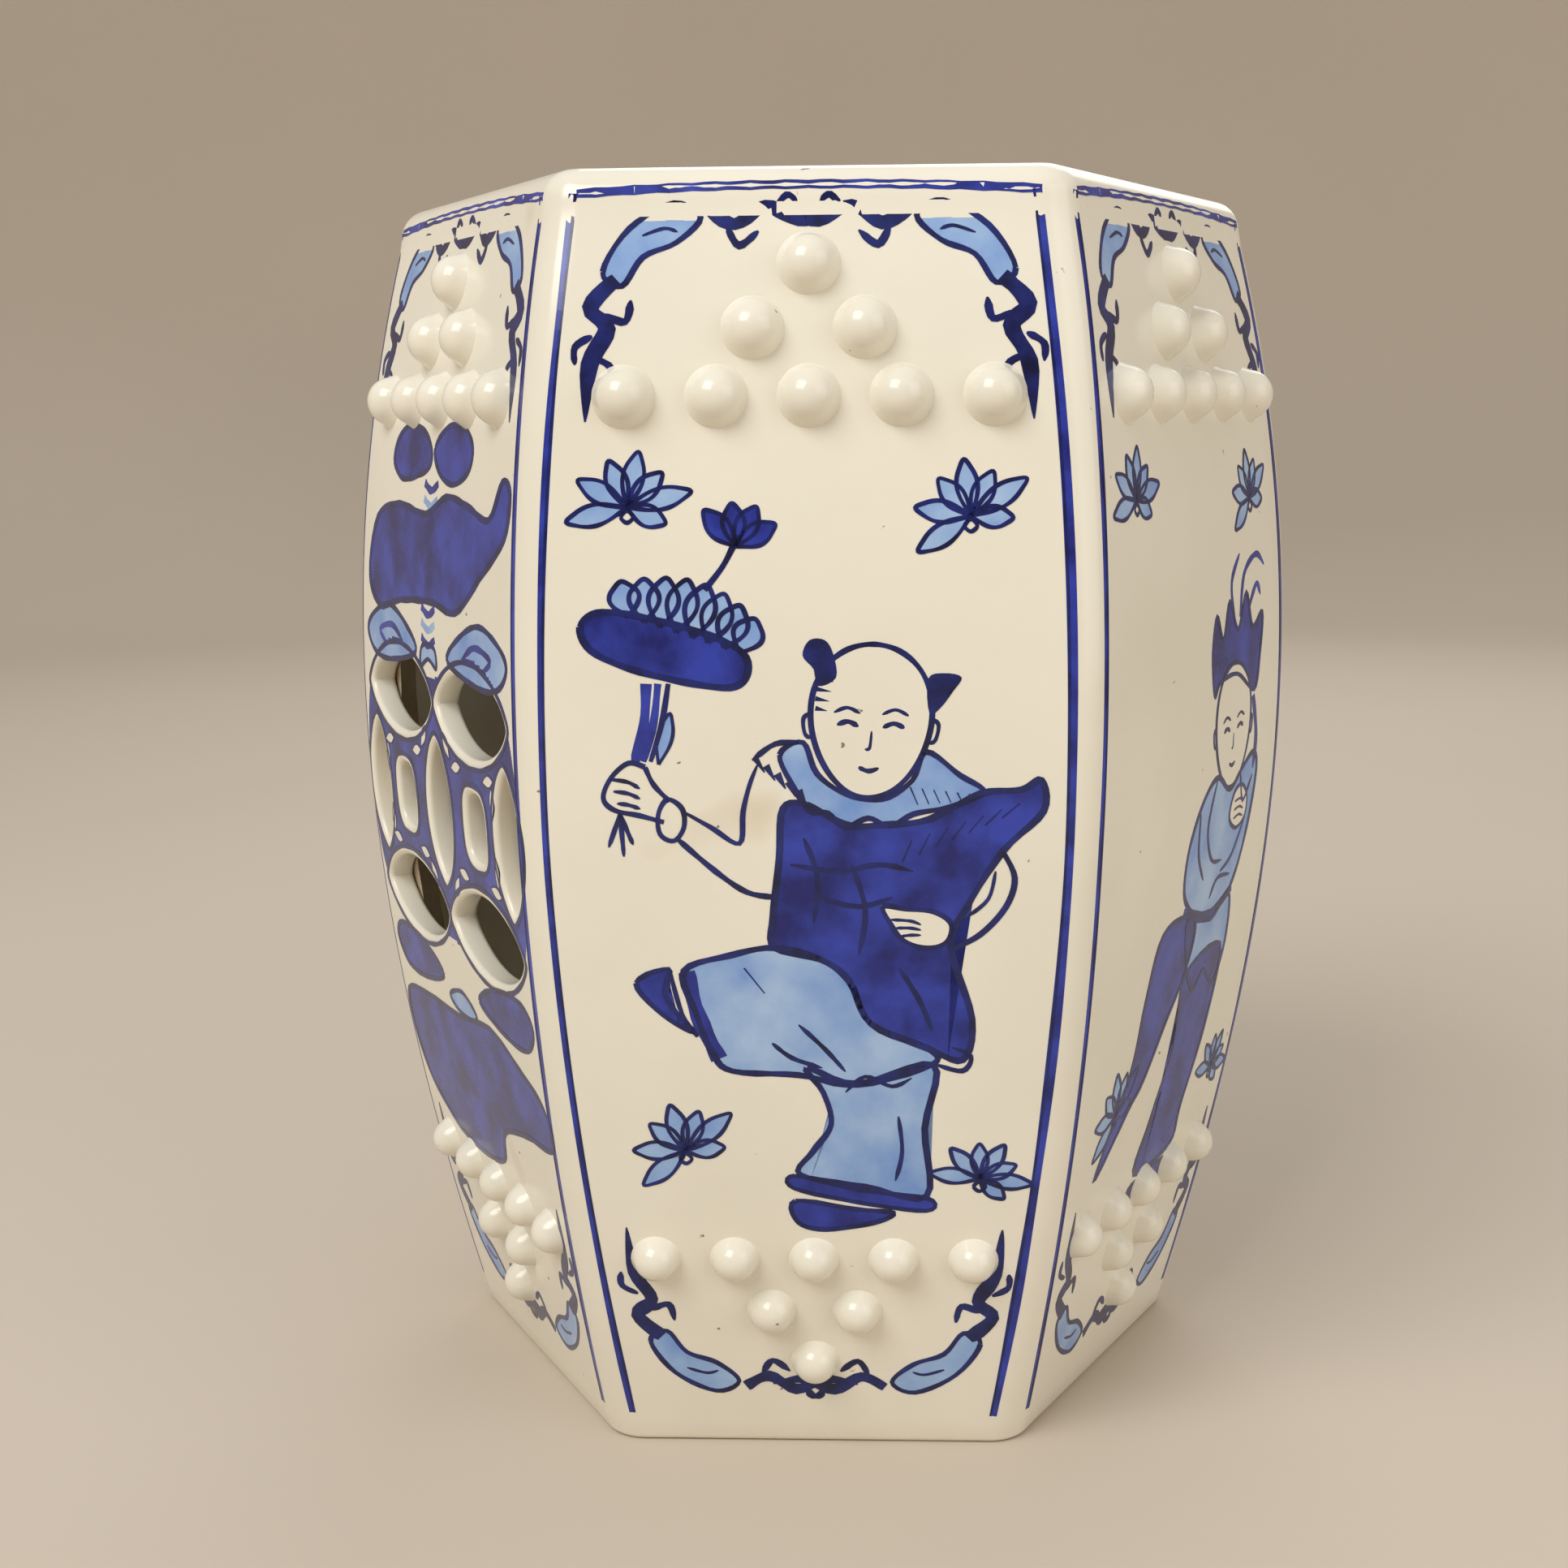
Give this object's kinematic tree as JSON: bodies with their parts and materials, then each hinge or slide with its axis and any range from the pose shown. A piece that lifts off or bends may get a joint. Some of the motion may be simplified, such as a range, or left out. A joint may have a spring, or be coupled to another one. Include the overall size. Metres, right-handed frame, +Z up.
{
  "type": "porcelain lantern",
  "caption": "Hexagonal barrel-shaped porcelain lantern with pierced coin panels, raised bosses, a vented top and a tealight inside its open base.",
  "frame": {"origin": "centre of the resting plane under the foot", "axes": "+Z up the lantern's axis, -Y out of the front figure wall"},
  "size_m": [0.164, 0.1458, 0.2],
  "materials": {
    "glazed_porcelain": "gloss",
    "bare_porcelain": "matt",
    "cup_foil": "satin",
    "candle_wax": "satin",
    "wick_cotton": "matt"
  },
  "bodies": {
    "lantern": {"wall_front": "glazed_porcelain", "wall_right_front": "glazed_porcelain", "wall_right_back": "glazed_porcelain", "wall_back": "glazed_porcelain", "wall_left_back": "glazed_porcelain", "wall_left_front": "glazed_porcelain", "top_slab": "glazed_porcelain", "base_ring": "bare_porcelain", "seam_coil_1": "bare_porcelain", "seam_coil_2": "bare_porcelain", "seam_coil_3": "bare_porcelain", "seam_coil_4": "bare_porcelain", "seam_coil_5": "bare_porcelain", "seam_coil_6": "bare_porcelain"},
    "tealight": {"tealight_cup": "cup_foil", "tealight_wax": "candle_wax", "wick_sustainer": "cup_foil", "wick": "wick_cotton"}
  },
  "joints": [
    {"name": "tealight_lift_out", "type": "slide", "parent": "lantern", "child": "tealight", "axis": [0, 0, -1], "range_m": [0, 0.05]}
  ]
}
